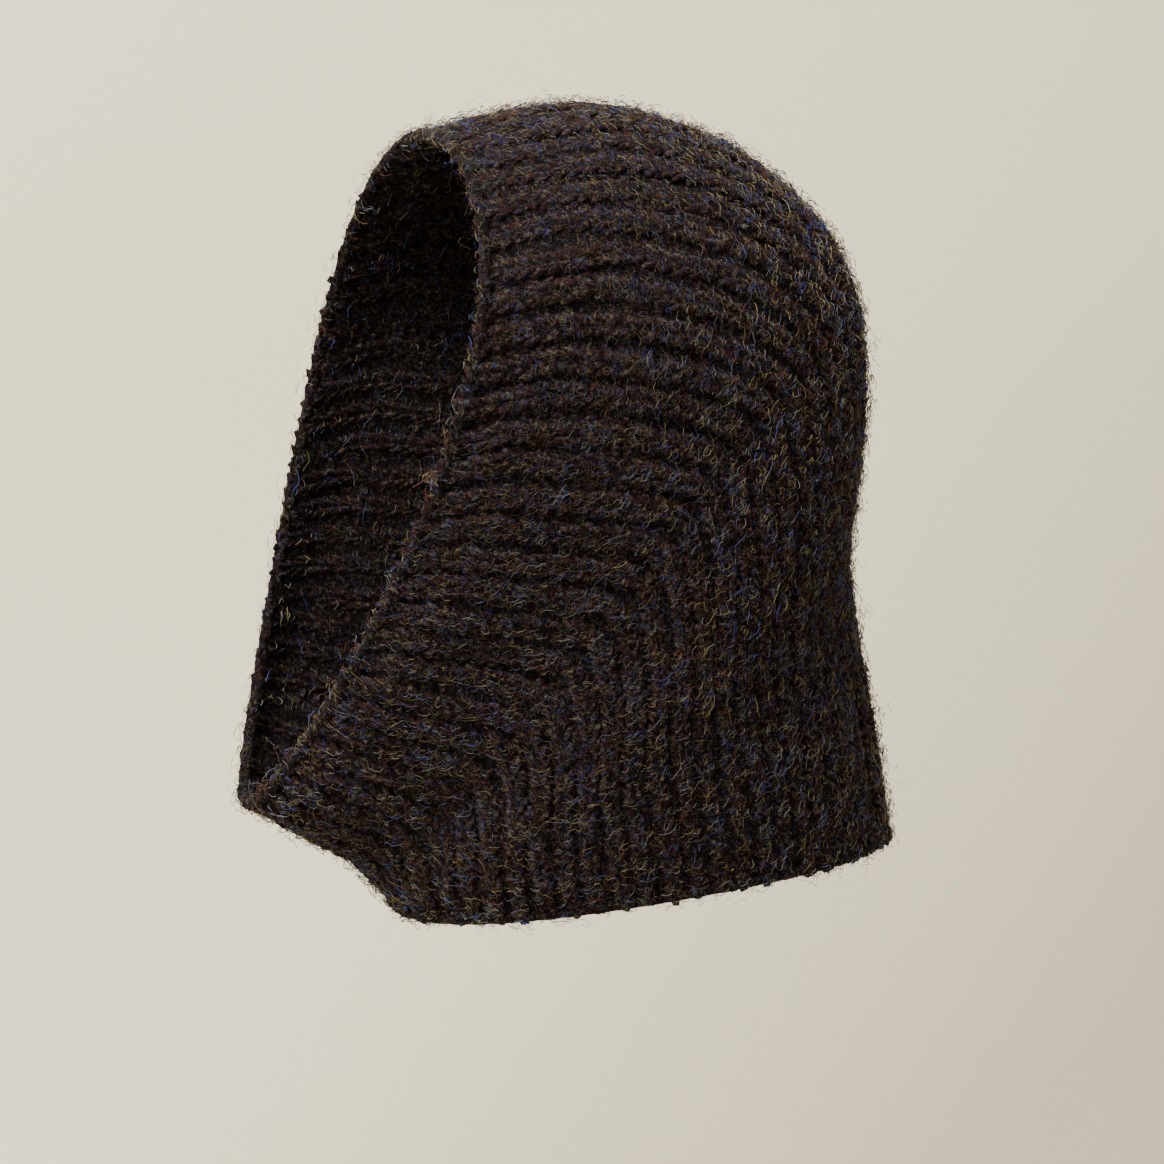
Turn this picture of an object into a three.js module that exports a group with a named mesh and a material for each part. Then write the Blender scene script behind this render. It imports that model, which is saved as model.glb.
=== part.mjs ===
// Knit balaclava: a hood of thick one-and-one rib, worked like a sock with a turned heel.
// Every rib starts at the edge of the face, runs back along the head, turns the corner at a slanting
// mitre line behind the jaw, and runs down to the hem. The face and the hem are finished with a row of
// bound-off chain. +Y points to the back of the head, -Y to the face, +X to the wearer's left.
import * as THREE from 'three';

// Driving sizes, in millimetres
const faceHeight = 212;
const faceWidth = 144;
const faceLean = THREE.MathUtils.degToRad(16.6);
const chinAboveHem = 38.5;
const crownAboveFace = 5;
const hoodDepth = 210;
const hoodWidth = 160;
const hemDepth = 160;
const hemWidth = 124;
const hemRise = 16.5;
const wallThickness = 5;
const ribRelief = 2.4;
const edgeRow = 4.4;
const edgeSwell = 0.5;
const pieceGap = 0.3;

// Counts
const ribCount = 58;
const pointsPerRib = 2;
const hoodSteps = 10;
const neckSteps = 7;
const edgeSides = 6;

// The four corners of the side outline, with y measured back from the tip of the chin and z up from the
// front of the hem
const chin = new THREE.Vector2(0, chinAboveHem);
const forehead = new THREE.Vector2(
  faceHeight * Math.sin(faceLean),
  chinAboveHem + faceHeight * Math.cos(faceLean),
);
const hemFront = new THREE.Vector2(hoodDepth - hemDepth, 0);
const hemBack = new THREE.Vector2(hoodDepth, hemRise);
const crownHeight = forehead.y + crownAboveFace;

// One row for each section, from the edge of the face, over the crown, to the hem. A section is an
// egg-shaped loop round the head. Its upper end lies on the outline over the crown and down the nape,
// its lower end on the outline from the chin to the front of the hem.
// upperBack: share of the way back from the forehead to the back of the hem
// upperDown: share of the way down from the crown to the back of the hem
// lowerBack, lowerDown: shares of the way from the chin to the front of the hem
// width: across the widest place of the loop
// egg: how much wider the upper half of the loop is than the lower half
// bow: how far the sides of the loop lie towards the face, as a share of the depth of the hood
// lift: how much more the bow moves the upper half of the loop than its middle
// slip: how far the ribs at the sides lie towards the lower end, as a share of half the girth
const sections = [
  { upperBack: 0.0, upperDown: 0.03, lowerBack: 0.0, lowerDown: 0.0,
    width: faceWidth, egg: 0.46, bow: -0.036, lift: 0.2, slip: 0.055 },
  { upperBack: 0.315, upperDown: 0.0, lowerBack: 0.146, lowerDown: 0.12,
    width: 0.97 * hoodWidth, egg: 0.34, bow: 0.0, lift: 0.5, slip: 0.047 },
  { upperBack: 0.59, upperDown: 0.042, lowerBack: 0.312, lowerDown: 0.25,
    width: hoodWidth, egg: 0.3, bow: 0.035, lift: 0.9, slip: 0.038 },
  { upperBack: 0.785, upperDown: 0.13, lowerBack: 0.479, lowerDown: 0.38,
    width: hoodWidth, egg: 0.26, bow: 0.055, lift: 0.9, slip: 0.01 },
  { upperBack: 0.892, upperDown: 0.235, lowerBack: 0.646, lowerDown: 0.5,
    width: 0.98 * hoodWidth, egg: 0.22, bow: 0.07, lift: 0.9, slip: -0.02 },
  { upperBack: 0.924, upperDown: 0.37, lowerBack: 0.75, lowerDown: 0.61,
    width: 0.96 * hoodWidth, egg: 0.16, bow: 0.055, lift: 0.9, slip: -0.018 },
  { upperBack: 0.915, upperDown: 0.502, lowerBack: 0.812, lowerDown: 0.69,
    width: 0.93 * hoodWidth, egg: 0.1, bow: 0.042, lift: 0.9, slip: -0.014 },
  { upperBack: 0.906, upperDown: 0.634, lowerBack: 0.875, lowerDown: 0.78,
    width: 0.88 * hoodWidth, egg: 0.05, bow: 0.032, lift: 0.9, slip: -0.009 },
  { upperBack: 0.946, upperDown: 0.797, lowerBack: 0.937, lowerDown: 0.88,
    width: 1.08 * hemWidth, egg: 0.02, bow: 0.025, lift: 0.5, slip: -0.004 },
  { upperBack: 1.0, upperDown: 1.0, lowerBack: 1.0, lowerDown: 1.0,
    width: hemWidth, egg: 0.0, bow: 0.024, lift: 0.0, slip: 0.0 },
];
const mitreSection = 4;
const hemSection = sections.length - 1;

// One row for each soft dent. along is counted in sections and rib in ribs from the middle of the crown,
// positive to the wearer's left. depth is a share of the wall; the spans are in sections and ribs.
const dents = [
  { along: 2.4, rib: 19.5, depth: 0.5, alongSpan: 1.4, ribSpan: 0.9 },
  { along: 3.1, rib: 11.5, depth: 0.35, alongSpan: 1.0, ribSpan: 0.8 },
  { along: 6.4, rib: 0, depth: 0.5, alongSpan: 1.0, ribSpan: 5.0 },
  { along: 8.0, rib: 5.5, depth: 0.6, alongSpan: 1.1, ribSpan: 1.6 },
];

// How much the egg alone would widen a loop, for each square of its own share
const eggSpread = 0.45;

// Smooth curves through the columns of the table
const upperPath = new THREE.SplineCurve(sections.map((row) => new THREE.Vector2(
  THREE.MathUtils.lerp(forehead.x, hemBack.x, row.upperBack),
  THREE.MathUtils.lerp(crownHeight, hemBack.y, row.upperDown),
)));
const lowerPath = new THREE.SplineCurve(sections.map((row) => new THREE.Vector2(
  THREE.MathUtils.lerp(chin.x, hemFront.x, row.lowerBack),
  THREE.MathUtils.lerp(chin.y, hemFront.y, row.lowerDown),
)));
const columns = {};
for (const name of ['width', 'egg', 'bow', 'lift', 'slip']) {
  columns[name] = new THREE.SplineCurve(sections.map((row, index) => new THREE.Vector2(index, row[name])));
}

// The share of the table's length at a place counted in sections, and a column's value at that share
const shareOf = (along) => THREE.MathUtils.clamp(along / hemSection, 0, 1);
const columnAt = (name, along) => columns[name].getPoint(shareOf(along)).y;

// A point of one loop. turn runs from 0 at the upper end, over the wearer's left side at a quarter, to the
// lower end at a half, and back up the right side.
function loopPoint(along, turn) {
  const upper = upperPath.getPoint(shareOf(along));
  const lower = lowerPath.getPoint(shareOf(along));
  const egg = columnAt('egg', along);
  const angle = turn * 2 * Math.PI;
  const middle = upper.clone().add(lower).multiplyScalar(0.5);
  const half = upper.clone().sub(lower).multiplyScalar(0.5);
  const towardsFace = new THREE.Vector2(-half.y, half.x).normalize();
  const swell = (1 + egg * Math.cos(angle)) / (1 + eggSpread * egg * egg);
  const bow = columnAt('bow', along) * hoodDepth * Math.sin(angle) ** 2;
  const lift = 1 + columnAt('lift', along) * Math.cos(angle);
  const side = middle.addScaledVector(half, Math.cos(angle)).addScaledVector(towardsFace, bow * lift);
  return new THREE.Vector3(columnAt('width', along) / 2 * Math.sin(angle) * swell, side.x, side.y);
}

// Ribs are spaced evenly round each loop, but for the slip. This gives the turn at which a rib crosses it.
const turnSamples = 180;
const turnTables = new Map();

function turnOfRib(along, rib) {
  const key = along.toFixed(5);
  if (!turnTables.has(key)) {
    const lengths = [0];
    let last = loopPoint(along, 0);
    for (let index = 1; index <= turnSamples; index += 1) {
      const next = loopPoint(along, index / turnSamples);
      lengths.push(lengths[index - 1] + next.distanceTo(last));
      last = next;
    }
    turnTables.set(key, lengths);
  }
  const lengths = turnTables.get(key);
  const slip = columnAt('slip', along) / 2;
  const even = rib / ribCount;
  const wraps = Math.floor(even);
  const target = (even - wraps + slip * Math.sin(2 * Math.PI * even)) * lengths[turnSamples];
  let index = 1;
  while (index < turnSamples && lengths[index] < target) {
    index += 1;
  }
  const step = lengths[index] - lengths[index - 1];
  return wraps + (index - 1 + (target - lengths[index - 1]) / step) / turnSamples;
}

// How far the dents press the knitting in at one place
function dentDepth(along, rib) {
  let depth = 0;
  for (const dent of dents) {
    const around = rib > ribCount / 2 ? rib - ribCount : rib;
    const alongShare = (along - dent.along) / dent.alongSpan;
    const ribShare = (around - dent.rib) / dent.ribSpan;
    depth += dent.depth * wallThickness * Math.exp(-alongShare * alongShare - ribShare * ribShare);
  }
  return depth;
}

// Place, outward direction and downstream direction of the knitting where a rib crosses a section
function skinFrame(along, rib) {
  const stride = 0.02;
  const before = Math.max(0, along - stride);
  const after = Math.min(hemSection, along + stride);
  const place = loopPoint(along, turnOfRib(along, rib));
  const upstream = loopPoint(before, turnOfRib(before, rib));
  const downstream = loopPoint(after, turnOfRib(after, rib));
  const left = loopPoint(along, turnOfRib(along, rib - 0.25));
  const right = loopPoint(along, turnOfRib(along, rib + 0.25));
  const run = downstream.clone().sub(upstream);
  const pace = run.length() / (after - before);
  run.normalize();
  const out = right.sub(left).cross(run).normalize();
  place.addScaledVector(out, -dentDepth(along, rib));
  return { place, out, run, pace };
}

// The section, counted along the table, that lies a given distance downstream of another one on a rib
function sectionAt(start, rib, distance) {
  const strides = 8;
  let along = start;
  for (let stride = 0; stride < strides; stride += 1) {
    along += distance / strides / skinFrame(along, rib).pace;
  }
  return along;
}

// A closed ring: points(rib) gives the loop of vertices across the ring at each place round the head
function ringGeometry(points) {
  const places = ribCount * pointsPerRib;
  const positions = [];
  let across = 0;
  for (let place = 0; place < places; place += 1) {
    const loop = points(place / pointsPerRib);
    across = loop.length;
    for (const point of loop) {
      positions.push(point.x, point.y, point.z);
    }
  }
  const faces = [];
  for (let place = 0; place < places; place += 1) {
    const nextPlace = (place + 1) % places;
    for (let corner = 0; corner < across; corner += 1) {
      const nextCorner = (corner + 1) % across;
      const a = place * across + corner;
      const b = place * across + nextCorner;
      const c = nextPlace * across + nextCorner;
      const d = nextPlace * across + corner;
      faces.push(a, c, b, a, d, c);
    }
  }
  const geometry = new THREE.BufferGeometry();
  geometry.setAttribute('position', new THREE.Float32BufferAttribute(positions, 3));
  geometry.setIndex(faces);
  geometry.computeVertexNormals();
  return geometry;
}

// A ribbed wall between two places along the ribs. A rib stands out where its number is whole and lies
// back halfway to the next, on the outside and the inside alike, as knit and purl columns do.
function wallGeometry(startOf, endOf, steps) {
  return ringGeometry((rib) => {
    const start = startOf(rib);
    const end = endOf(rib);
    const sink = Number.isInteger(rib) ? 0 : ribRelief;
    const outside = [];
    const inside = [];
    for (let step = 0; step <= steps; step += 1) {
      const frame = skinFrame(THREE.MathUtils.lerp(start, end, step / steps), rib);
      outside.push(frame.place.clone().addScaledVector(frame.out, -sink));
      inside.push(frame.place.clone().addScaledVector(frame.out, ribRelief - sink - wallThickness));
    }
    return outside.concat(inside.reverse());
  });
}

// The bound-off row that finishes an open end: a rounded cord that swells over each rib
function edgeGeometry(section, towardsRibs) {
  return ringGeometry((rib) => {
    const frame = skinFrame(section, rib);
    const swell = Number.isInteger(rib) ? edgeSwell : 0;
    const loop = [];
    for (let side = 0; side < edgeSides; side += 1) {
      const angle = -towardsRibs * (side + 0.5) * 2 * Math.PI / edgeSides;
      const alongOffset = towardsRibs * edgeRow / 2 * (1 + Math.cos(angle) / Math.cos(Math.PI / edgeSides));
      const outOffset = (wallThickness / 2 + swell) * Math.sin(angle) - wallThickness / 2;
      loop.push(frame.place.clone()
        .addScaledVector(frame.run, alongOffset)
        .addScaledVector(frame.out, outOffset));
    }
    return loop;
  });
}

function wool(name, geometry, colour) {
  const material = new THREE.MeshStandardMaterial({ color: colour, roughness: 0.95, metalness: 0 });
  const mesh = new THREE.Mesh(geometry, material);
  mesh.name = name;
  return mesh;
}

const afterFaceEdge = (rib) => sectionAt(0, rib, edgeRow + pieceGap);
const beforeMitre = (rib) => sectionAt(mitreSection, rib, -pieceGap / 2);
const afterMitre = (rib) => sectionAt(mitreSection, rib, pieceGap / 2);
const beforeHemEdge = (rib) => sectionAt(hemSection, rib, -edgeRow - pieceGap);

const balaclava = new THREE.Group();
balaclava.add(wool('crown_and_cheeks', wallGeometry(afterFaceEdge, beforeMitre, hoodSteps), 0x33271f));
balaclava.add(wool('nape_and_neck', wallGeometry(afterMitre, beforeHemEdge, neckSteps), 0x2f2622));
balaclava.add(wool('face_edge', edgeGeometry(0, 1), 0x3a2c22));
balaclava.add(wool('hem_edge', edgeGeometry(hemSection, -1), 0x3a2c22));

// The origin is the seat inside the crown, where the top of the head carries the hood
const crownSeat = { back: upperPath.getPoint(1 / hemSection).x, up: crownHeight - wallThickness };
balaclava.position.set(0, -crownSeat.back, -crownSeat.up);

export default balaclava;
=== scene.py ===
import math

import bpy
import numpy as np
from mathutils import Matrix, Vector


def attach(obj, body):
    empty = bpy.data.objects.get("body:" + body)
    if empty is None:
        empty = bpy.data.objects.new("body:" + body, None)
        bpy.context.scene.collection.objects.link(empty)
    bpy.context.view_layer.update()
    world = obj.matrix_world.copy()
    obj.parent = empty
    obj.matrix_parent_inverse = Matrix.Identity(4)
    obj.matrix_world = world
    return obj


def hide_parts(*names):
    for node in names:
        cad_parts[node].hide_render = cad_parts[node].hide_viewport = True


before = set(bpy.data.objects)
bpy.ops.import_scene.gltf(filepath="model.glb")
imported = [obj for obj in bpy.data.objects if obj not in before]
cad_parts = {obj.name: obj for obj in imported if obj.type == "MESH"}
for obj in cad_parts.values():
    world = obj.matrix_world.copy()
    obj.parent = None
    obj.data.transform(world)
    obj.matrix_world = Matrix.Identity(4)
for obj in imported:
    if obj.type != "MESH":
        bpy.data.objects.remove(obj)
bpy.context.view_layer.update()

# Ground of the hood
# The knitted wall itself: one seamless tube of thick one-and-one rib in woollen yarn, knitted from the
# hem to the face and turned at a slanting line behind the jaw. This piece is the closed bed of loops between
# the outside and the inside, in wool painted near black as painted shade in the furrows between the
# stitches.
# The columns of stitches that show lie on it.

MM = 0.001
RIBS = 58
FACE_HEIGHT = 212 * MM
FACE_WIDTH = 144 * MM
FACE_LEAN = math.radians(16.6)
CHIN_ABOVE_HEM = 38.5 * MM
CROWN_ABOVE_FACE = 5 * MM
HOOD_DEPTH = 210 * MM
HOOD_WIDTH = 160 * MM
HEM_DEPTH = 160 * MM
HEM_WIDTH = 124 * MM
HEM_RISE = 16.5 * MM
WALL = 5 * MM
EDGE_ROW = 4.4 * MM
EGG_SPREAD = 0.45

# One row for each section from the edge of the face over the crown to the hem: how far back and down its
# upper and lower ends lie, its width, and the form of its loop, as in the solid
COLUMNS = ("upper_back", "upper_down", "lower_back", "lower_down", "width", "egg", "bow", "lift", "slip")
SECTIONS = (
    (0.0, 0.03, 0.0, 0.0, FACE_WIDTH, 0.46, -0.036, 0.2, 0.055),
    (0.315, 0.0, 0.146, 0.12, 0.97 * HOOD_WIDTH, 0.34, 0.0, 0.5, 0.047),
    (0.59, 0.042, 0.312, 0.25, HOOD_WIDTH, 0.3, 0.035, 0.9, 0.038),
    (0.785, 0.13, 0.479, 0.38, HOOD_WIDTH, 0.26, 0.055, 0.9, 0.01),
    (0.892, 0.235, 0.646, 0.5, 0.98 * HOOD_WIDTH, 0.22, 0.07, 0.9, -0.02),
    (0.924, 0.37, 0.75, 0.61, 0.96 * HOOD_WIDTH, 0.16, 0.055, 0.9, -0.018),
    (0.915, 0.502, 0.812, 0.69, 0.93 * HOOD_WIDTH, 0.1, 0.042, 0.9, -0.014),
    (0.906, 0.634, 0.875, 0.78, 0.88 * HOOD_WIDTH, 0.05, 0.032, 0.9, -0.009),
    (0.946, 0.797, 0.937, 0.88, 1.08 * HEM_WIDTH, 0.02, 0.025, 0.5, -0.004),
    (1.0, 1.0, 1.0, 1.0, HEM_WIDTH, 0.0, 0.024, 0.0, 0.0),
)
MITRE = 4
HEM = len(SECTIONS) - 1

# One row for each soft dent: its section and rib, its depth in walls, and its spans in sections and ribs
DENTS = (
    (2.4, 19.5, 0.5, 1.4, 0.9),
    (3.1, 11.5, 0.35, 1.0, 0.8),
    (6.4, 0.0, 0.5, 1.0, 5.0),
    (8.0, 5.5, 0.6, 1.1, 1.6),
)

STEPS_PER_SECTION = 100
PLACES_PER_RIB = 4
TURN_SAMPLES = 181
STEPS_ASIDE = 2
alongs = np.linspace(0, HEM, HEM * STEPS_PER_SECTION + 1)
ribs = np.arange(RIBS * PLACES_PER_RIB) / PLACES_PER_RIB


def smooth(values, along):
    """A smooth curve through evenly spaced values, read at places counted in values."""
    values = np.asarray(values, float)
    last = len(values) - 1
    index = np.clip(np.floor(along).astype(int), 0, last)
    share = (along - index).reshape(-1, *[1] * (values.ndim - 1))
    before, here = values[np.maximum(index - 1, 0)], values[index]
    after, beyond = values[np.minimum(index + 1, last)], values[np.minimum(index + 2, last)]
    pull, push = (after - before) / 2, (beyond - here) / 2
    cubic = 2 * here - 2 * after + pull + push
    square = -3 * here + 3 * after - 2 * pull - push
    return ((cubic * share + square) * share + pull) * share + here


def column(name):
    """One column of the table of sections, read at every step along the hood."""
    return smooth([row[COLUMNS.index(name)] for row in SECTIONS], alongs)[:, None]


forehead_back = FACE_HEIGHT * math.sin(FACE_LEAN)
forehead_up = CHIN_ABOVE_HEM + FACE_HEIGHT * math.cos(FACE_LEAN)
crown_height = forehead_up + CROWN_ABOVE_FACE
upper = (
    forehead_back + (HOOD_DEPTH - forehead_back) * column("upper_back"),
    crown_height + (HEM_RISE - crown_height) * column("upper_down"),
)
lower = (
    (HOOD_DEPTH - HEM_DEPTH) * column("lower_back"),
    CHIN_ABOVE_HEM * (1 - column("lower_down")),
)
seat_back = float(upper[0][STEPS_PER_SECTION, 0])
seat_up = crown_height - WALL


def loop_points(turn):
    """Points of every loop of the table, in the row frame. turn runs once round each loop."""
    angle = turn * 2 * math.pi
    half = [(a - b) / 2 for a, b in zip(upper, lower)]
    reach = np.hypot(*half)
    bow = column("bow") * HOOD_DEPTH * np.sin(angle) ** 2 * (1 + column("lift") * np.cos(angle))
    swell = (1 + column("egg") * np.cos(angle)) / (1 + EGG_SPREAD * column("egg") ** 2)
    back = (upper[0] + lower[0]) / 2 + half[0] * np.cos(angle) - half[1] / reach * bow
    up = (upper[1] + lower[1]) / 2 + half[1] * np.cos(angle) + half[0] / reach * bow
    across = column("width") / 2 * np.sin(angle) * swell
    return np.stack([across, back - seat_back, up - seat_up], -1)


def unit(vectors):
    """The same directions with a length of one."""
    return vectors / np.linalg.norm(vectors, axis=-1, keepdims=True)


# The skin: a fine grid of places, with its directions outwards and downstream, and the space from rib to rib
turn_samples = np.linspace(0, 1, TURN_SAMPLES)
outline = loop_points(turn_samples[None, :])
girths = np.cumsum(np.linalg.norm(np.diff(outline, axis=1), axis=2), axis=1)
girths = np.concatenate([np.zeros((len(alongs), 1)), girths], axis=1)
even = ribs[None, :] / RIBS
targets = (even + column("slip") / 2 * np.sin(2 * math.pi * even)) * girths[:, -1:]
wraps = np.floor(targets / girths[:, -1:])
targets = targets - wraps * girths[:, -1:]
turns = np.stack([np.interp(t, g, turn_samples) for t, g in zip(targets, girths)])
skin = loop_points(turns)
strides = np.arange(len(alongs))
steps_on = np.minimum(strides + STEPS_ASIDE, len(alongs) - 1)
steps_back = np.maximum(strides - STEPS_ASIDE, 0)
skin_run = unit(skin[steps_on] - skin[steps_back])
aside = np.roll(skin, -1, axis=1) - np.roll(skin, 1, axis=1)
skin_space = np.linalg.norm(aside, axis=2) * PLACES_PER_RIB / 2
skin_out = unit(np.cross(aside, skin_run))
around = np.where(ribs > RIBS / 2, ribs - RIBS, ribs)
for dent_along, dent_rib, depth, along_span, rib_span in DENTS:
    off_along = (alongs[:, None] - dent_along) / along_span
    off_around = (around - dent_rib) / rib_span
    press = np.exp(-(off_along**2) - off_around**2)
    skin = skin - skin_out * (depth * WALL * press)[..., None]
skin_length = np.cumsum(np.linalg.norm(np.diff(skin, axis=0), axis=2), axis=0)
skin_length = np.concatenate([np.zeros((1, len(ribs))), skin_length])


def along_wale(place, distances):
    """Places, outward and downstream directions and rib space on one wale, at distances from the face."""
    step = np.interp(distances, skin_length[:, place], strides)
    low = np.minimum(step.astype(int), len(alongs) - 2)
    share = (step - low)[:, None]
    mixed = [
        grid[low, place] * (1 - share) + grid[low + 1, place] * share
        for grid in (skin, skin_out, skin_run, skin_space[..., None])
    ]
    return mixed[0], unit(mixed[1]), unit(mixed[2]), mixed[3][:, 0]


def closed_rings(name, rings):
    """A closed band: rings is places round it x points across it x 3."""
    places, points = rings.shape[:2]
    index = np.arange(places * points).reshape(places, points)
    ahead = np.roll(index, -1, axis=0)
    quads = np.stack([index, np.roll(index, -1, axis=1), np.roll(ahead, -1, axis=1), ahead], -1)
    mesh = bpy.data.meshes.new(name)
    mesh.from_pydata(rings.reshape(-1, 3), [], quads.reshape(-1, 4)[:, ::-1].tolist())
    mesh.shade_smooth()
    return mesh


def put(name, mesh, material):
    """A finished piece: its mesh in the row frame, its material, and its ride."""
    piece = bpy.data.objects.new(name, mesh)
    bpy.context.collection.objects.link(piece)
    mesh.materials.clear()
    mesh.materials.append(material)
    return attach(piece, "root")


def add(tree, kind, inputs=None, stops=(), **settings):
    """Adds a node with its settings, links and colour stops. An input takes a value, a socket or a node,
    which stands for its first output."""
    node = tree.nodes.new(kind)
    for name, value in settings.items():
        setattr(node, name, value)
    for key, value in (inputs or {}).items():
        if isinstance(value, bpy.types.Node):
            value = next(socket for socket in value.outputs if socket.enabled)
        if isinstance(value, bpy.types.NodeSocket):
            tree.links.new(value, node.inputs[key])
        else:
            node.inputs[key].default_value = value
    for number, (position, code) in enumerate(stops):
        if number == len(node.color_ramp.elements):
            node.color_ramp.elements.new(position)
        node.color_ramp.elements[number].position = position
        node.color_ramp.elements[number].color = linear(code)
    return node


def linear(code):
    """Linear colour from an sRGB hex code."""
    parts = [int(code[i : i + 2], 16) / 255 for i in (1, 3, 5)]
    return tuple(p / 12.92 if p <= 0.04045 else ((p + 0.055) / 1.055) ** 2.4 for p in parts) + (1.0,)


# How deep the outer and inner faces of this bed lie under the skin, at a ridge and at a furrow
GROUND_STEPS = 60
RIDGE_BED = 1.3 * MM
FURROW_BED = 3.4 * MM
RIDGE_LINING = 3.7 * MM
FURROW_LINING = 4.2 * MM


def ground_mesh():
    """The bed of loops: a closed tube wall that rises and falls with the ribs."""
    rings = []
    for place, rib in enumerate(ribs):
        furrow = 0.5 - 0.5 * math.cos(2 * math.pi * rib)
        distances = np.linspace(EDGE_ROW / 2, skin_length[-1, place] - EDGE_ROW / 2, GROUND_STEPS + 1)
        centre, out, _, _ = along_wale(place, distances)
        outside = centre - out * (RIDGE_BED + (FURROW_BED - RIDGE_BED) * furrow)
        inside = centre - out * (RIDGE_LINING + (FURROW_LINING - RIDGE_LINING) * furrow)
        rings.append(np.concatenate([outside, inside[::-1]]))
    return closed_rings("hood_ground", np.array(rings))


# Dyed wool hairs as they lie mixed in the yarn: near-black brown, rust, brown, olive, straw, grey, slate
# and indigo. The number before each shade is the share of the hairs at which it starts.
HAIR_SHADES = (
    (0.0, "#1a1112"),
    (0.24, "#45282a"),
    (0.38, "#3a2a26"),
    (0.5, "#524d33"),
    (0.62, "#756849"),
    (0.7, "#62645e"),
    (0.79, "#444c5b"),
    (0.91, "#353c68"),
)

# A wool fibre is 0.03 mm thick, which is too fine to show, so the hairs of the mat are drawn 0.11 mm wide
HAIR_WIDTH = 0.11 * MM
HAIR_CURLS = (0.95 * MM, 1.4 * MM, 2.0 * MM)

# Each size of curl reads its noises at a place of its own. Its lines break where a wider noise is low, and
# each short length between has its own shade.
CURL_SHIFT = (7.3, 3.1, 0.0)
LINE_SOFTNESS = 0.9
BREAKS_PER_CURL = 0.4
BREAK_VALUES = (0.42, 0.52)
SHADES_PER_CURL = 1.1
MAT_RELIEF = 0.25 * MM

# The wool under the hairs is cloudy from darker to lighter, and the hairs lean to one shade in soft patches
PATCH_SIZE = 9 * MM
PATCH_VALUES = (0.3, 0.7)
PATCH_LEAN = 0.14
YARN_CLOUD = 1.6 * MM
CLOUD_VALUES = (0.38, 0.66)


def hair_shade(tree, pick, place, shades):
    """The shade of a hair, from a number of its own. Soft patches lean to brown or to blue."""
    low, high = PATCH_VALUES
    cloud = add(tree, "ShaderNodeTexNoise", {"Vector": place, "Scale": 1 / PATCH_SIZE, "Detail": 2.0})
    lean = add(tree, "ShaderNodeMapRange", {0: cloud, 1: low, 2: high, 3: -PATCH_LEAN, 4: PATCH_LEAN})
    chosen = add(tree, "ShaderNodeMath", {0: pick, 1: lean}, operation="ADD", use_clamp=True)
    shade = add(tree, "ShaderNodeValToRGB", {0: chosen}, stops=shades)
    shade.color_ramp.interpolation = "CONSTANT"
    return shade


def heather_wool(name, dark, light, mat):
    """Felted woollen yarn, carded from wools of many dyes and spun: a near-black purple brown under a mat
    of fine curly hairs, with no shine. The hairs are the thin lines where soft noises cross their middle
    value, broken into short lengths."""
    material = bpy.data.materials.new(name)
    material.use_nodes = True
    tree = material.node_tree
    shader = tree.nodes["Principled BSDF"]
    place = add(tree, "ShaderNodeTexCoord").outputs["Object"]
    depth = add(tree, "ShaderNodeTexNoise", {"Vector": place, "Scale": 1 / YARN_CLOUD, "Detail": 3.0})
    wool = add(tree, "ShaderNodeValToRGB", {0: depth}, stops=tuple(zip(CLOUD_VALUES, (dark, light))))
    height = depth
    for number, curl in enumerate(HAIR_CURLS):
        apart = tuple(shift * curl * number for shift in CURL_SHIFT)
        moved = add(tree, "ShaderNodeVectorMath", {0: place, 1: apart}, operation="ADD")
        curls = add(tree, "ShaderNodeTexNoise", {"Vector": moved, "Scale": 1 / curl, "Detail": 0.6})
        away = add(tree, "ShaderNodeMath", {0: curls, 1: 0.5}, operation="SUBTRACT")
        near = add(tree, "ShaderNodeMath", {0: away}, operation="ABSOLUTE")
        edge = LINE_SOFTNESS * HAIR_WIDTH / curl
        line = add(tree, "ShaderNodeMapRange", {0: near, 1: 0.0, 2: edge, 3: 1.0, 4: 0.0})
        breaks = {"Vector": moved, "Scale": BREAKS_PER_CURL / curl, "Detail": 1.0}
        gaps = add(tree, "ShaderNodeTexNoise", breaks)
        none, full = BREAK_VALUES
        kept = add(tree, "ShaderNodeMapRange", {0: gaps, 1: none, 2: full, 3: 0.0, 4: mat})
        strand = add(tree, "ShaderNodeMath", {0: line, 1: kept}, operation="MULTIPLY")
        cell = add(tree, "ShaderNodeTexVoronoi", {"Vector": moved, "Scale": SHADES_PER_CURL / curl})
        pick = add(tree, "ShaderNodeSeparateColor", {0: cell.outputs["Color"]})
        shade = hair_shade(tree, pick, place, HAIR_SHADES)
        wool = add(tree, "ShaderNodeMix", {0: strand, 6: wool, 7: shade}, data_type="RGBA")
        height = add(tree, "ShaderNodeMath", {0: height, 1: strand}, operation="ADD")
    relief = add(tree, "ShaderNodeBump", {"Height": height, "Strength": 0.6, "Distance": MAT_RELIEF})
    tree.links.new(wool.outputs[2], shader.inputs["Base Color"])
    tree.links.new(relief.outputs[0], shader.inputs["Normal"])
    shader.inputs["Roughness"].default_value = 0.95
    shader.inputs["Specular IOR Level"].default_value = 0.1
    shader.inputs["Sheen Weight"].default_value = 0.03
    shader.inputs["Sheen Roughness"].default_value = 0.5
    shader.inputs["Sheen Tint"].default_value = linear("#8a7a70")
    return material


# The bed's wool is painted darker than the yarn of the stitches: painted shade in the furrows and in the
# edge cores
painted_shade_wool = heather_wool("painted_shade_wool", "#060404", "#150e0d", 0.4)
ground = put("hood_ground", ground_mesh(), painted_shade_wool)
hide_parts("crown_and_cheeks", "nape_and_neck")

# Columns of stitches on the outside
# Each rib is a column of plain stitches, and each stitch is one loop of yarn whose two legs make a V that
# points to the hem. The rows are longer on the crown, where the knitting is stretched most, and close up
# on the neck.

HOOD_PITCH = 4.9 * MM
NECK_PITCH = 3.75 * MM
COMMON_SPACE = 10 * MM
COMMON_PITCH = 4.4 * MM
SWAY = 0.45 * MM
SWAY_DEPTH = 0.25 * MM
SWAY_STITCHES = 3

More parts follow.
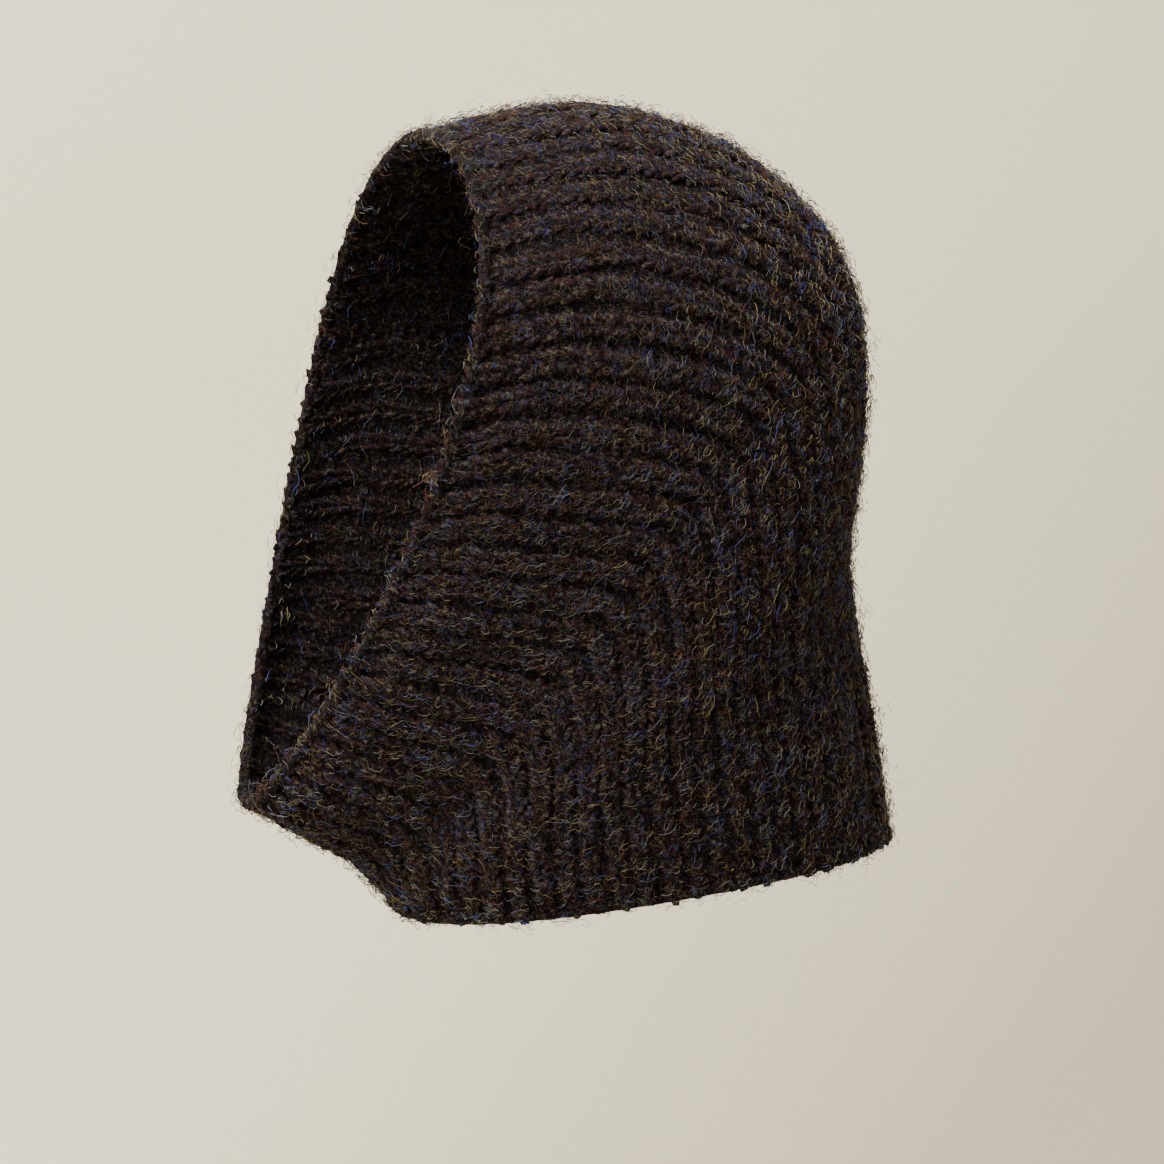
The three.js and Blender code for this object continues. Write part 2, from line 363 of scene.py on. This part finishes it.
# How much stitches vary, as a share of their spacing and of their size, and the lumps of their yarn
PLACE_JITTER = 0.07
SIZE_JITTER = 0.07
LUMP_SIZE = 2.2 * MM
NOISE_MIDDLE = (0.5, 0.5, 0.5)
random = np.random.default_rng(58)


def points_mesh(name, centres, outs, runs, sizes):
    """Points, each with the directions and the size of the stitch that it carries."""
    mesh = bpy.data.meshes.new(name)
    mesh.from_pydata(centres, [], [])
    for title, values in (("out", outs), ("run", runs), ("size", sizes)):
        field = mesh.attributes.new(title, "FLOAT_VECTOR", "POINT")
        field.data.foreach_set("vector", np.array(values, np.float32).ravel())
    return mesh


def stitch_points(name, places, first, last, pitch, side, depth, flatness=1.0):
    """A point for each stitch of these wales, with its directions and its size. Each wale sways a little
    aside and in depth, a few stitches at a time."""
    centres, outs, runs, sizes = [], [], [], []
    for place in places:
        start, end = first(place), last(place)
        count = max(2, round((end - start) / pitch))
        step = (end - start) / count
        jitter = random.normal(0, PLACE_JITTER, count) * step
        centre, out, run, space = along_wale(place, start + (np.arange(count) + 0.5) * step + jitter)
        knots = random.normal(0, 1, (2, count // SWAY_STITCHES + 2))
        spots = np.arange(count) / SWAY_STITCHES
        aside, higher = [np.interp(spots, np.arange(len(k)), k)[:, None] for k in knots]
        swayed = centre + np.cross(out, run) * aside * SWAY
        centres.append(swayed - out * (depth + higher * SWAY_DEPTH))
        outs.append(out * side)
        runs.append(run)
        lengths = np.full(count, step / COMMON_PITCH)
        scale = np.stack([space / COMMON_SPACE, lengths, np.full(count, flatness)], 1)
        sizes.append(scale * random.normal(1, SIZE_JITTER, (count, 3)))
    return points_mesh(name, *(np.concatenate(values) for values in (centres, outs, runs, sizes)))


def new_tree(name, sockets):
    """A Geometry Nodes tree with its named inputs, and its input node."""
    tree = bpy.data.node_groups.new(name, "GeometryNodeTree")
    tree.interface.new_socket("Geometry", in_out="INPUT", socket_type="NodeSocketGeometry")
    for title, value in sockets.items():
        kind = {int: "Int", float: "Float"}.get(type(value), "Material")
        socket = tree.interface.new_socket(title, in_out="INPUT", socket_type="NodeSocket" + kind)
        if kind != "Material":
            socket.default_value = value
    tree.interface.new_socket("Geometry", in_out="OUTPUT", socket_type="NodeSocketGeometry")
    return tree, add(tree, "NodeGroupInput").outputs


def end_tree(tree, geometry, material):
    """Ends a tree with real faces in one material."""
    real = add(tree, "GeometryNodeRealizeInstances", {0: geometry})
    finished = add(tree, "GeometryNodeSetMaterial", {0: real, "Material": material})
    add(tree, "NodeGroupOutput", {0: finished})


def grown(name, mesh, tree, values):
    """The plain mesh that a tree makes of a mesh, with these values in its named inputs."""
    holder = bpy.data.objects.new(name + "_seed", mesh)
    bpy.context.collection.objects.link(holder)
    modifier = holder.modifiers.new("grow", "NODES")
    modifier.node_group = tree
    for item in tree.interface.items_tree:
        if item.in_out == "INPUT" and item.name in values:
            modifier[item.identifier] = values[item.name]
    graph = bpy.context.evaluated_depsgraph_get()
    plain = bpy.data.meshes.new_from_object(holder.evaluated_get(graph))
    plain.name = name
    holder.modifiers.remove(modifier)
    bpy.data.objects.remove(holder)
    return plain


def stitch_tree():
    """Puts one V of two yarn legs on every point, and roughs its surface."""
    tree, given = new_tree(
        "stitches",
        {
            "Neck": 0.5 * MM,
            "Shoulder": 2.45 * MM,
            "Length": COMMON_PITCH,
            "End Height": -1.0 * MM,
            "Middle Height": 0.5 * MM,
            "Yarn Radius": 1.9 * MM,
            "End Share": 0.6,
            "Sides": 5,
            "Steps": 4,
            "Roughness": 2.4 * MM,
            "Material": None,
        },
    )

    # A leg runs from the neck of the V to its shoulder: how far aside each end and each handle of its curve
    # lies, how far along, in stitch lengths, and how high
    bends = {"Resolution": given["Steps"]}
    for title, aside, along, height in (
        ("Start", "Neck", 0.85, "End Height"),
        ("Start Handle", "Neck", 0.25, "Middle Height"),
        ("End Handle", "Shoulder", -0.28, "Middle Height"),
        ("End", "Shoulder", -0.7, "End Height"),
    ):
        reach = add(tree, "ShaderNodeMath", {0: given["Length"], 1: along}, operation="MULTIPLY")
        bends[title] = add(tree, "ShaderNodeCombineXYZ", {0: given[aside], 1: reach, 2: given[height]})
    leg = add(tree, "GeometryNodeCurvePrimitiveBezierSegment", bends, mode="POSITION")
    other = add(tree, "GeometryNodeTransform", {0: leg, "Scale": (-1, 1, 1)})
    legs = add(tree, "GeometryNodeJoinGeometry", {0: leg})
    tree.links.new(other.outputs[0], legs.inputs[0])
    share = add(tree, "GeometryNodeSplineParameter")
    half_turn = add(tree, "ShaderNodeMath", {0: share, 1: math.pi}, operation="MULTIPLY")
    bulge = add(tree, "ShaderNodeMath", {0: half_turn}, operation="SINE")
    thick = add(tree, "ShaderNodeMapRange", {0: bulge, 3: given["End Share"], 4: 1.0})
    round_yarn = {"Resolution": given["Sides"], "Radius": given["Yarn Radius"]}
    ring = add(tree, "GeometryNodeCurvePrimitiveCircle", round_yarn)
    tubes = add(
        tree,
        "GeometryNodeCurveToMesh",
        {"Curve": legs, "Profile Curve": ring, "Scale": thick, "Fill Caps": True},
    )
    out, run, size = [
        add(tree, "GeometryNodeInputNamedAttribute", {0: title}, data_type="FLOAT_VECTOR")
        for title in ("out", "run", "size")
    ]
    turn = add(tree, "FunctionNodeAxesToRotation", {0: out, 1: run}, primary_axis="Z", secondary_axis="Y")
    placed = add(
        tree,
        "GeometryNodeInstanceOnPoints",
        {"Points": given["Geometry"], "Instance": tubes, "Rotation": turn, "Scale": size},
    )
    real = add(tree, "GeometryNodeRealizeInstances", {0: placed})
    smooth_faces = add(tree, "GeometryNodeSetShadeSmooth", {0: real})
    place = add(tree, "GeometryNodeInputPosition")
    lump = add(tree, "ShaderNodeTexNoise", {"Vector": place, "Scale": 1 / LUMP_SIZE, "Detail": 1.0})
    from_middle = {0: lump.outputs["Color"], 1: NOISE_MIDDLE}
    offset = add(tree, "ShaderNodeVectorMath", from_middle, operation="SUBTRACT")
    push = add(tree, "ShaderNodeVectorMath", {0: offset, "Scale": given["Roughness"]}, operation="SCALE")
    rough = add(tree, "GeometryNodeSetPosition", {0: smooth_faces, "Offset": push})
    end_tree(tree, rough, given["Material"])
    return tree


stitches = stitch_tree()
yarn_wool = heather_wool("yarn_wool", "#090506", "#2f1b1b", 0.65)
outer_places = range(0, len(ribs), PLACES_PER_RIB)
inner_places = range(PLACES_PER_RIB // 2, len(ribs), PLACES_PER_RIB)
STITCH_DEPTH = 2.15 * MM

# How much of the bound-off row the columns leave free at the face and at the hem
FACE_FREE = 0.4
HEM_FREE = 0.35


def after_face(place):
    """How far from the face the columns of a place start."""
    return EDGE_ROW * FACE_FREE


def at_mitre(place):
    """How far from the face a place's column reaches the slanting line behind the jaw."""
    return skin_length[MITRE * STEPS_PER_SECTION, place]


def before_hem(place):
    """How far from the face the columns of a place end."""
    return skin_length[-1, place] - EDGE_ROW * HEM_FREE


crown_points = stitch_points("crown_points", outer_places, after_face, at_mitre, HOOD_PITCH, 1, STITCH_DEPTH)
neck_points = stitch_points("neck_points", outer_places, at_mitre, before_hem, NECK_PITCH, 1, STITCH_DEPTH)
crown_stitches = put(
    "crown_stitches",
    grown("crown_stitches", crown_points, stitches, {"Material": yarn_wool}),
    yarn_wool,
)
neck_stitches = put(
    "neck_stitches",
    grown("neck_stitches", neck_points, stitches, {"Material": yarn_wool}),
    yarn_wool,
)

# Columns of stitches on the inside
# The back of each furrow is a column of plain stitches on the inside of the hood, which shows through the
# open face and at the neck. It is the same yarn, pressed flatter by wear.

LINING_DEPTH = WALL - 1.3 * MM
LINING_FLATNESS = 0.75
inside_values = {
    "Material": yarn_wool,
    "Sides": 4,
    "Steps": 2,
    "Yarn Radius": 1.8 * MM,
    "End Height": -0.3 * MM,
    "Roughness": 0.6 * MM,
}
crown_lining_points = stitch_points(
    "crown_lining_points", inner_places, after_face, at_mitre, HOOD_PITCH, -1, LINING_DEPTH, LINING_FLATNESS
)
neck_lining_points = stitch_points(
    "neck_lining_points", inner_places, at_mitre, before_hem, NECK_PITCH, -1, LINING_DEPTH, LINING_FLATNESS
)
crown_lining = put(
    "crown_lining",
    grown("crown_lining", crown_lining_points, stitches, inside_values),
    yarn_wool,
)
neck_lining = put(
    "neck_lining",
    grown("neck_lining", neck_lining_points, stitches, inside_values),
    yarn_wool,
)

# Edge of the face and edge of the hem
# The last row at each open end is bound off in the same yarn: its loops are drawn through each other into a
# chain that lies along the edge and swells a little over each rib. Here links of yarn lie round a core that
# is painted dark, as painted shade inside the chain.

EDGE_SIDES = 10
EDGE_THICK = 4.0 * MM
EDGE_SWELL = 0.6 * MM
CORE_SHARE = 0.8
CORE_SHORTER = 0.5 * MM
LINK_TILTS = (35, 80, 125)
LINK_SUNK = 1.5 * MM
LINK_WIDTH = 0.8

# How much the links vary: their tilt in degrees, their reach, their heading and their size
TILT_JITTER = 7
REACH_JITTER = 0.25 * MM
HEADING_JITTER = 0.12
LINK_JITTER = 0.1
edge_wool = heather_wool("edge_wool", "#070405", "#281413", 0.5)


def edge_core(name, step, towards_ribs):
    """The inside of a bound-off row, painted dark as painted shade: a closed ring round the opening."""
    rings = []
    for place, rib in enumerate(ribs):
        swell = EDGE_SWELL * math.cos(math.pi * rib) ** 2
        centre, out, run = skin[step, place], skin_out[step, place], skin_run[step, place]
        middle = centre + run * towards_ribs * EDGE_ROW / 2 - out * WALL / 2
        angles = -towards_ribs * np.arange(EDGE_SIDES) * 2 * math.pi / EDGE_SIDES
        lean = np.cos(angles)[:, None] * run * (EDGE_ROW / 2 - CORE_SHORTER)
        rise = np.sin(angles)[:, None] * out * (EDGE_THICK / 2 + swell) * CORE_SHARE
        rings.append(middle + lean * towards_ribs + rise)
    return closed_rings(name, np.array(rings))


def edge_points(name, step, towards_ribs):
    """A point for each link of the chains, which lie outside, on the rim and just inside it."""
    centres, outs, runs, sizes = [], [], [], []
    for place in range(0, len(ribs), PLACES_PER_RIB // 2):
        centre, out, run = skin[step, place], skin_out[step, place], skin_run[step, place]
        along_edge = unit(np.cross(out, run))
        space = skin_space[step, place] / 2
        swell = EDGE_SWELL if place % PLACES_PER_RIB == 0 else 0
        middle = centre + run * towards_ribs * EDGE_ROW / 2 - out * WALL / 2
        for tilt in LINK_TILTS:
            turn = math.radians(tilt + random.normal(0, TILT_JITTER))
            face = out * math.cos(turn) - run * towards_ribs * math.sin(turn)
            raised = (swell + random.normal(0, REACH_JITTER)) * math.cos(turn)
            centres.append(middle + face * (EDGE_THICK / 2 - LINK_SUNK + raised))
            outs.append(face)
            runs.append(unit(along_edge + run * random.normal(0, HEADING_JITTER)))
            size = np.array((LINK_WIDTH, space / COMMON_PITCH, 1.0))
            sizes.append(size * random.normal(1, LINK_JITTER, 3))
    return points_mesh(name, centres, outs, runs, sizes)


edge_values = {
    "Material": edge_wool,
    "Neck": 0.3 * MM,
    "Shoulder": 1.1 * MM,
    "Yarn Radius": 1.35 * MM,
    "End Height": -1.2 * MM,
    "Middle Height": 0.3 * MM,
    "Sides": 5,
    "Steps": 3,
}
chains = {}
for end, step, towards_ribs in (("face", 0, 1), ("hem", -1, -1)):
    core_mesh = edge_core(f"{end}_edge_core", step, towards_ribs)
    # The core is painted dark with the wool of the bed, as painted shade under the links
    put(f"{end}_edge_core", core_mesh, painted_shade_wool)
    links = edge_points(f"{end}_edge_points", step, towards_ribs)
    chain_mesh = grown(f"{end}_edge_chain", links, stitches, edge_values)
    chains[end] = put(f"{end}_edge_chain", chain_mesh, edge_wool)
    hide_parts(f"{end}_edge")

# Nub on the edge of the face
# A short end of paler, undyed wool has worked out of the edge beside the cheek. It is held only by its own
# hairs, which have felted it into a nub.

NUB_RIB = 13
NUB_STITCHES = 3
NUB_SIZE = 0.5
NUB_STEP = 1.1 * MM
NUB_TILT = 0.4
nub_wool = heather_wool("nub_wool", "#2f2417", "#76633f", 0.7)


def nub_points():
    """Three small stitches, turned at random, for the lumps of the nub."""
    place = NUB_RIB * PLACES_PER_RIB
    out, run = skin_out[0, place], skin_run[0, place]
    centres = [skin[0, place] - out * WALL / 2 - run * NUB_STEP * k for k in range(NUB_STITCHES)]
    outs = [unit(out + random.normal(0, NUB_TILT, 3)) for _ in centres]
    runs = [unit(random.normal(0, 1, 3)) for _ in centres]
    return points_mesh("nub_points", centres, outs, runs, np.full((NUB_STITCHES, 3), NUB_SIZE))


nub_mesh = grown("yarn_nub", nub_points(), stitches, {"Material": nub_wool})
nub = put("yarn_nub", nub_mesh, nub_wool)

# Hairs of the yarn
# Woollen-spun yarn is hairy: its fibres work loose and felt into a curly mat over the stitches, and some
# stand away from the outline. Each hair here is a curled ribbon, wider than the real fibre of 0.03 mm so
# that it shows.

# Hairs are mostly short and mostly lie close: the powers that make long and straying ones rare
LENGTH_POWER = 1.5
STRAY_POWER = 5.0

# The wave of a hair is read from one noise for all, this far apart for two hairs and this far on along one
WAVE_APART = 971.0
WAVE_LENGTH = 3.0
SEEDS_APART = 10.0
LEAST_FACING = 0.25

# The chances that each hair is given: the least and the most
HAIR_CHANCES = {
    "hair": (0.0, 1.0),
    "rise": (0.3, 1.0),
    "turn": (0.0, 2 * math.pi),
    "curl": (-1.0, 1.0),
    "share": (0.0, 1.0),
}

# What each hair is given at its root
ROOT_ARITHMETIC = (
    ("bend", "MULTIPLY", "curl", "Turning"),
    ("span", "SUBTRACT", "Longest", "Shortest"),
    ("more", "POWER", "share", LENGTH_POWER),
    ("extra", "MULTIPLY", "more", "span"),
    ("length", "ADD", "extra", "Shortest"),
)

# How a point of a hair lies: on an arc of a circle along the surface, lifted in the middle, and at its far
# end on the few that stand away
HAIR_ARITHMETIC = (
    ("from_middle", "SUBTRACT", "reach", 0.5),
    ("angle", "MULTIPLY", "from_middle", "bend"),
    ("heading", "ADD", "angle", "turn"),
    ("radius", "DIVIDE", "length", "bend"),
    ("sine_here", "SINE", "heading"),
    ("sine_middle", "SINE", "turn"),
    ("cosine_here", "COSINE", "heading"),
    ("cosine_middle", "COSINE", "turn"),
    ("ahead", "SUBTRACT", "sine_here", "sine_middle"),
    ("aside", "SUBTRACT", "cosine_middle", "cosine_here"),
    ("x", "MULTIPLY", "ahead", "radius"),
    ("y", "MULTIPLY", "aside", "radius"),
    ("half_turn", "MULTIPLY", "reach", math.pi),
    ("hump", "SINE", "half_turn"),
    ("raised", "MULTIPLY", "hump", "rise"),
    ("arch", "MULTIPLY", "raised", "Arch"),
    ("rare", "POWER", "rise", STRAY_POWER),
    ("free_end", "MULTIPLY", "rare", "reach"),
    ("stray", "MULTIPLY", "free_end", "Stray"),
    ("z", "ADD", "arch", "stray"),
    ("number", "MULTIPLY", "hair", WAVE_APART),
    ("along", "MULTIPLY", "reach", WAVE_LENGTH),
    ("phase", "ADD", "number", "along"),
    ("one_side", "MULTIPLY", "Width", -0.5),
    ("other_side", "MULTIPLY", "Width", 0.5),
)


def work_out(tree, arithmetic, known):
    """Adds the rows of arithmetic as nodes. A row is a name, an operation, and what it takes, which is
    names or numbers."""
    for title, operation, *taken in arithmetic:
        inputs = {index: known.get(item, item) for index, item in enumerate(taken)}
        known[title] = add(tree, "ShaderNodeMath", inputs, operation=operation)


def hair_tree():
    """Scatters curled hairs over a surface, on the faces that look outwards. Density is hairs a square
    metre, and Turning is how far the most curled ones turn, in radians."""
    sizes = {
        "Density": 240000.0,
        "Shortest": 2.0 * MM,
        "Longest": 8.0 * MM,
        "Turning": 7.0,
        "Wave": 1.5 * MM,
        "Arch": 1.6 * MM,
        "Stray": 3.2 * MM,
        "Width": 0.2 * MM,
        "Steps": 7,
        "Seed": 1,
        "Material": None,
    }
    tree, given = new_tree("hairs", sizes)
    known = {title: given[title] for title in sizes}
    normal = add(tree, "GeometryNodeInputNormal")
    out, run = [
        add(tree, "GeometryNodeInputNamedAttribute", {0: title}, data_type="FLOAT_VECTOR")
        for title in ("out", "run")
    ]
    facing = add(tree, "ShaderNodeVectorMath", {0: normal, 1: out}, operation="DOT_PRODUCT")
    limit = {0: facing, 1: LEAST_FACING}
    shown = add(tree, "FunctionNodeCompare", limit, data_type="FLOAT", operation="GREATER_THAN")
    scatter = {title: given[title] for title in ("Density", "Seed")}
    scatter.update({"Mesh": given["Geometry"], "Selection": shown})
    hairs = add(tree, "GeometryNodeDistributePointsOnFaces", scatter)
    for number, (title, (least, most)) in enumerate(HAIR_CHANCES.items()):
        seed = add(tree, "ShaderNodeMath", {0: given["Seed"], 1: SEEDS_APART * number}, operation="ADD")
        known[title] = add(tree, "FunctionNodeRandomValue", {2: least, 3: most, 8: seed}, data_type="FLOAT")
    work_out(tree, ROOT_ARITHMETIC, known)
    stored = ("hair", "rise", "turn", "bend", "length")
    for title in stored:
        hairs = add(
            tree,
            "GeometryNodeStoreNamedAttribute",
            {0: hairs, "Name": title, "Value": known[title]},
            data_type="FLOAT",
            domain="POINT",
        )
    line = add(tree, "GeometryNodeCurvePrimitiveLine", {"Start": (0, 0, 0), "End": (MM, 0, 0)})
    fine = add(tree, "GeometryNodeResampleCurve", {"Curve": line, "Count": given["Steps"]})
    share = add(tree, "GeometryNodeSplineParameter")
    straight = add(
        tree,
        "GeometryNodeStoreNamedAttribute",
        {0: fine, "Name": "reach", "Value": share},
        data_type="FLOAT",
        domain="POINT",
    )
    place = add(tree, "GeometryNodeInputPosition")
    rooted = add(
        tree,
        "GeometryNodeStoreNamedAttribute",
        {0: hairs, "Name": "root", "Value": place},
        data_type="FLOAT_VECTOR",
        domain="POINT",
    )
    placed = add(tree, "GeometryNodeInstanceOnPoints", {"Points": rooted, "Instance": straight})
    real = add(tree, "GeometryNodeRealizeInstances", {0: placed})

    for title in stored + ("reach",):
        known[title] = add(tree, "GeometryNodeInputNamedAttribute", {0: title}, data_type="FLOAT")
    work_out(tree, HAIR_ARITHMETIC, known)
    arc = add(tree, "ShaderNodeCombineXYZ", {0: known["x"], 1: known["y"], 2: known["z"]})
    lie = add(tree, "FunctionNodeAxesToRotation", {0: out, 1: run}, primary_axis="Z", secondary_axis="Y")
    laid = add(tree, "FunctionNodeRotateVector", {0: arc, 1: lie})
    read_at = {"W": known["phase"], "Scale": 1.0, "Detail": 1.0}
    wave = add(tree, "ShaderNodeTexNoise", read_at, noise_dimensions="1D")
    from_middle = {0: wave.outputs["Color"], 1: NOISE_MIDDLE}
    swing = add(tree, "ShaderNodeVectorMath", from_middle, operation="SUBTRACT")
    swung = add(tree, "ShaderNodeVectorMath", {0: swing, "Scale": given["Wave"]}, operation="SCALE")
    curled = add(tree, "ShaderNodeVectorMath", {0: laid, 1: swung}, operation="ADD")
    root = add(tree, "GeometryNodeInputNamedAttribute", {0: "root"}, data_type="FLOAT_VECTOR")
    point = add(tree, "ShaderNodeVectorMath", {0: root, 1: curled}, operation="ADD")
    moved = add(tree, "GeometryNodeSetPosition", {0: real, "Position": point})
    faced = add(tree, "GeometryNodeSetCurveNormal", {0: moved, "Normal": out}, mode="FREE")
    ends = [add(tree, "ShaderNodeCombineXYZ", {0: known[side]}) for side in ("one_side", "other_side")]
    ribbon = add(tree, "GeometryNodeCurvePrimitiveLine", {"Start": ends[0], "End": ends[1]})
    made = add(tree, "GeometryNodeCurveToMesh", {"Curve": faced, "Profile Curve": ribbon})
    end_tree(tree, made, given["Material"])
    return tree


# Loose hairs are painted lighter than the mat, as painted highlight where they catch more light, and the
# coarse undyed ones among them are straw and grey
LOOSE_SHADES = (
    (0.0, "#241617"),
    (0.14, "#663b30"),
    (0.28, "#503a30"),
    (0.4, "#6a6642"),
    (0.53, "#90835b"),
    (0.65, "#7f7f79"),
    (0.76, "#5b6379"),
    (0.9, "#454e88"),
)


def loose_wool():
    """Single dyed wool hairs: a soft gloss along the scales, one shade for each hair."""
    material = bpy.data.materials.new("loose_wool_hairs")
    material.use_nodes = True
    tree = material.node_tree
    shader = tree.nodes["Principled BSDF"]
    own = add(tree, "ShaderNodeAttribute", attribute_name="hair").outputs["Fac"]
    place = add(tree, "ShaderNodeTexCoord").outputs["Object"]
    tree.links.new(hair_shade(tree, own, place, LOOSE_SHADES).outputs[0], shader.inputs["Base Color"])
    shader.inputs["Roughness"].default_value = 0.75
    shader.inputs["Specular IOR Level"].default_value = 0.2
    shader.inputs["Sheen Weight"].default_value = 0.05
    return material


fibres = loose_wool()
hairs = hair_tree()

# The few long hairs that stand away from the outline
flyaway = {
    "Shortest": 4.0 * MM,
    "Longest": 13.0 * MM,
    "Turning": 5.5,
    "Wave": 4.0 * MM,
    "Arch": 3.0 * MM,
    "Stray": 6.0 * MM,
    "Width": 0.13 * MM,
    "Steps": 9,
}
for name, rooted_in, density, seed, values in (
    ("crown_hairs", crown_stitches, 275000.0, 3, {}),
    ("neck_hairs", neck_stitches, 240000.0, 4, {}),
    ("crown_lining_hairs", crown_lining, 70000.0, 5, {}),
    ("neck_lining_hairs", neck_lining, 50000.0, 6, {}),
    ("face_edge_hairs", chains["face"], 60000.0, 7, {}),
    ("hem_edge_hairs", chains["hem"], 60000.0, 8, {}),
    ("nub_hairs", nub, 900000.0, 13, {}),
    ("crown_flyaways", crown_stitches, 8000.0, 9, flyaway),
    ("neck_flyaways", neck_stitches, 9000.0, 10, flyaway),
    ("face_edge_flyaways", chains["face"], 10000.0, 11, flyaway),
    ("hem_edge_flyaways", chains["hem"], 10000.0, 12, flyaway),
):
    given_values = {"Material": fibres, "Density": density, "Seed": seed, **values}
    mesh = grown(name, rooted_in.data.copy(), hairs, given_values)
    put(name, mesh, fibres)

# Studio
# A roll of pale paper that is floor and backdrop in one. The main soft box hangs high on the left in
# front, and weak ones stand low on the left and high behind. A fourth lights the paper alone.

TARGET = Vector((0.0, 0.008, -0.1475))
AZIMUTH = math.radians(70)
ELEVATION = math.radians(10)
DISTANCE = 1.7
OFF_CENTRE = 0.00549
to_camera = Vector(
    (
        math.sin(AZIMUTH) * math.cos(ELEVATION),
        -math.cos(AZIMUTH) * math.cos(ELEVATION),
        math.sin(ELEVATION),
    )
)
right = Vector((math.cos(AZIMUTH), math.sin(AZIMUTH), 0))
above = to_camera.cross(right)
aim = TARGET - right * OFF_CENTRE + above * OFF_CENTRE
camera_data = bpy.data.cameras.new("camera")
camera_data.sensor_width = 36
camera_data.lens = 172.4
camera_data.clip_start = 0.05
camera_data.clip_end = 50.0
camera = bpy.data.objects.new("camera", camera_data)
bpy.context.collection.objects.link(camera)
camera.location = aim + to_camera * DISTANCE
camera.rotation_mode = "QUATERNION"
camera.rotation_quaternion = (-to_camera).to_track_quat("-Z", "Y")
bpy.context.scene.camera = camera

FLOOR_DROP = 1.1
FLOOR_FRONT = -6.0
BACKDROP_REACH = 2.6
BACKDROP_HEIGHT = 6.0
BEND = 0.8
BEND_STEPS = 12
HALF_WIDTH = 5.0
# Where the painted shade on the paper starts and ends, and how far it leans to the right
PAPER_SHADE_FROM = 0.25
PAPER_SHADE_TO = 0.85
PAPER_SHADE_ASIDE = 0.9


def backdrop_mesh():
    """A floor that bends up into a wall behind the object, as a paper roll hangs in a studio."""
    line = [(FLOOR_FRONT, 0.0), (BACKDROP_REACH - BEND, 0.0)]
    for step in range(1, BEND_STEPS + 1):
        angle = step / BEND_STEPS * math.pi / 2
        line.append((BACKDROP_REACH - BEND + BEND * math.sin(angle), BEND - BEND * math.cos(angle)))
    line.append((BACKDROP_REACH, BACKDROP_HEIGHT))
    back = -Vector((to_camera.x, to_camera.y, 0)).normalized()
    points, faces = [], []
    for reach, up in line:
        for side in (-HALF_WIDTH, HALF_WIDTH):
            points.append(back * reach + right * side + Vector((0, 0, TARGET.z - FLOOR_DROP + up)))
    for index in range(len(line) - 1):
        faces.append((2 * index, 2 * index + 1, 2 * index + 3, 2 * index + 2))
    mesh = bpy.data.meshes.new("paper_roll")
    mesh.from_pydata(points, [], faces)
    mesh.shade_smooth()
    return mesh


# Uncoated studio paper: warm and dead matt, with painted shade that makes it a little darker towards the
# lower right
paper = bpy.data.materials.new("pale_paper")
paper.use_nodes = True
paper_shader = paper.node_tree.nodes["Principled BSDF"]
place = add(paper.node_tree, "ShaderNodeTexCoord").outputs["Object"]
downwards = tuple(right * PAPER_SHADE_ASIDE - above)
down = add(paper.node_tree, "ShaderNodeVectorMath", {0: place, 1: downwards}, operation="DOT_PRODUCT")
share = add(paper.node_tree, "ShaderNodeMapRange", {0: down, 1: PAPER_SHADE_FROM, 2: PAPER_SHADE_TO})
tone = add(paper.node_tree, "ShaderNodeValToRGB", {0: share}, stops=((0.0, "#efe9d2"), (1.0, "#c6bca8")))
paper.node_tree.links.new(tone.outputs[0], paper_shader.inputs["Base Color"])
paper_shader.inputs["Roughness"].default_value = 1.0
paper_shader.inputs["Specular IOR Level"].default_value = 0.0
backdrop = bpy.data.objects.new("paper_roll", backdrop_mesh())
bpy.context.collection.objects.link(backdrop)
backdrop.data.materials.append(paper)


def soft_light(name, side, up, forward, size, power, colour):
    """A square soft box at a place given by the camera's own directions, turned to the hood."""
    data = bpy.data.lights.new(name, "AREA")
    data.shape = "SQUARE"
    data.size = size
    data.energy = power
    data.color = linear(colour)[:3]
    light = bpy.data.objects.new(name, data)
    bpy.context.collection.objects.link(light)
    light.location = TARGET + right * side + Vector((0, 0, up)) + to_camera * forward
    light.rotation_mode = "QUATERNION"
    light.rotation_quaternion = (TARGET - light.location).to_track_quat("-Z", "Y")
    return light


soft_light("high_box", -1.0, 1.9, 1.3, 1.1, 118, "#fffaf5")
soft_light("side_box", -2.0, 0.4, 1.2, 1.4, 16, "#f8f8ff")
soft_light("rear_box", 0.6, 1.8, -1.9, 1.4, 26, "#fffaf4")
wash = soft_light("backdrop_wash", -1.2, 1.4, -1.0, 0.8, 63, "#fff8e6")
wash.rotation_quaternion = (-to_camera - right * 0.1 - Vector((0, 0, 0.3))).to_track_quat("-Z", "Y")
world = bpy.data.worlds.new("studio")
world.use_nodes = True
world.node_tree.nodes["Background"].inputs[0].default_value = linear("#e3e1de")
world.node_tree.nodes["Background"].inputs[1].default_value = 0.76
bpy.context.scene.world = world
